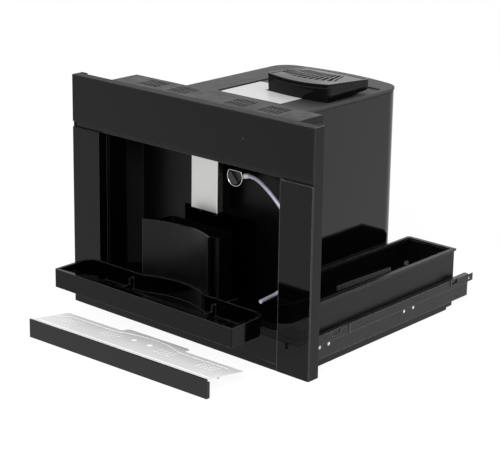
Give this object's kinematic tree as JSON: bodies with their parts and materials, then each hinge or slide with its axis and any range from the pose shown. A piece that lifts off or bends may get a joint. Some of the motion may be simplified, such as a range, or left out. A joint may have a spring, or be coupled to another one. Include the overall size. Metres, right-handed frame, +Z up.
{
  "type": "built-in coffee machine",
  "caption": "Built-in coffee machine: black front frame, open cup niche, sliding spout, pulled-out drip tray with grounds container, bean hopper and side runners.",
  "frame": {"origin": "middle of the lower front edge of the front frame, on the plane the frame and base stand on", "axes": "+X to the right seen from the front, +Y from the front face back into the cabinet, +Z up"},
  "size_m": [0.595, 0.7286, 0.4659],
  "materials": {
    "black_gloss": "gloss black",
    "tray_black": "gloss black",
    "liner_gloss": "mirror gloss black",
    "black_plastic": "satin black",
    "spout_silver": "satin silver",
    "nozzle_black": "black",
    "carrier_black": "black paint",
    "grey_plastic": "light grey",
    "connector_black": "dark grey",
    "ring_chrome": "chrome",
    "hose_clear": "milky silicone",
    "stainless": "satin stainless steel",
    "zinc_sheet": "zinc-plated sheet",
    "screw_bright": "bright zinc",
    "seal_rubber": "black rubber",
    "hopper_clear": "smoked plastic",
    "float_white": "white",
    "board_green": "circuit board",
    "motor_steel": "steel",
    "boiler_alloy": "cast aluminium",
    "brew_grey": "dark grey",
    "pipe_white": "white tube",
    "inlet_black": "black"
  },
  "bodies": {
    "machine": {"base_plate": "zinc_sheet", "bean_hopper": "hopper_clear", "body_shell": "black_plastic", "boiler": "boiler_alloy", "bottom_bar": "black_gloss", "brew_unit": "brew_grey", "carrier_frame": "carrier_black", "chassis_channel": "zinc_sheet", "compartment_clip": "grey_plastic", "connector_ring": "ring_chrome", "connector_tap": "grey_plastic", "control_board": "board_green", "fascia_panel": "black_gloss", "grinder_bracket": "zinc_sheet", "grinder_housing": "brew_grey", "grinder_motor": "motor_steel", "hose_clip": "connector_black", "left_inner_runner": "zinc_sheet", "left_pillar": "black_gloss", "left_support": "zinc_sheet", "lid_seal": "seal_rubber", "mains_inlet": "inlet_black", "niche_liner": "liner_gloss", "power_board": "board_green", "pump": "motor_steel", "pump_mounts": "seal_rubber", "right_inner_runner": "zinc_sheet", "right_pillar": "black_gloss", "side_compartment": "black_plastic", "side_strip": "grey_plastic", "spout_guide": "black_plastic", "status_light": "connector_black", "steam_connector": "connector_black", "steam_hose": "hose_clear", "top_cover": "black_plastic", "top_plate": "zinc_sheet", "tray_track": "zinc_sheet", "vent_cover": "black_plastic", "water_pipes": "pipe_white", "water_tank": "hopper_clear"},
    "cabinet_runners": {"left_outer_runner": "zinc_sheet", "right_outer_runner": "zinc_sheet", "left_bracket": "zinc_sheet", "right_bracket": "zinc_sheet", "runner_screws": "screw_bright"},
    "middle_runners": {"left_middle_runner": "zinc_sheet", "right_middle_runner": "zinc_sheet"},
    "tray": {"drip_tray": "tray_black", "grounds_container": "black_plastic", "container_shield": "tray_black"},
    "float": {"tray_float": "float_white"},
    "spout": {"spout_front": "spout_silver", "spout_body": "black_plastic", "spout_nozzles": "nozzle_black"},
    "lid": {"bean_lid": "black_plastic"},
    "grate": {"cup_grate": "stainless", "front_strip": "black_gloss"},
    "burr": {"grinder_burr": "motor_steel"},
    "piston": {"brew_piston": "brew_grey"}
  },
  "joints": [
    {"name": "cabinet_slide", "type": "slide", "parent": "machine", "child": "cabinet_runners", "axis": [0, 1, 0], "range_m": [0, 0.38]},
    {"name": "middle_slide", "type": "slide", "parent": "machine", "child": "middle_runners", "axis": [0, 1, 0], "range_m": [0, 0.19]},
    {"name": "tray_slide", "type": "slide", "parent": "machine", "child": "tray", "axis": [0, 1, 0], "range_m": [-0.045, 0.1175]},
    {"name": "float_rise", "type": "slide", "parent": "tray", "child": "float", "axis": [0, 0, 1], "range_m": [0, 0.01]},
    {"name": "spout_slide", "type": "slide", "parent": "machine", "child": "spout", "axis": [0, 0, 1], "range_m": [-0.038, 0.02]},
    {"name": "lid_lift", "type": "slide", "parent": "machine", "child": "lid", "axis": [0, 0, 1], "range_m": [0, 0.06]},
    {"name": "grate_lift", "type": "slide", "parent": "machine", "child": "grate", "axis": [0, 0, 1], "range_m": [0, 0.03]},
    {"name": "burr_spin", "type": "hinge", "parent": "machine", "child": "burr", "pos_m": [0.055, 0.32, 0.3], "axis": [0, 0, 1], "continuous": true},
    {"name": "piston_slide", "type": "slide", "parent": "machine", "child": "piston", "axis": [0, 0, 1], "range_m": [0, 0.06]}
  ],
  "couplings": [
    {"joint": "middle_slide", "follows": "cabinet_slide", "ratio": 0.5}
  ]
}
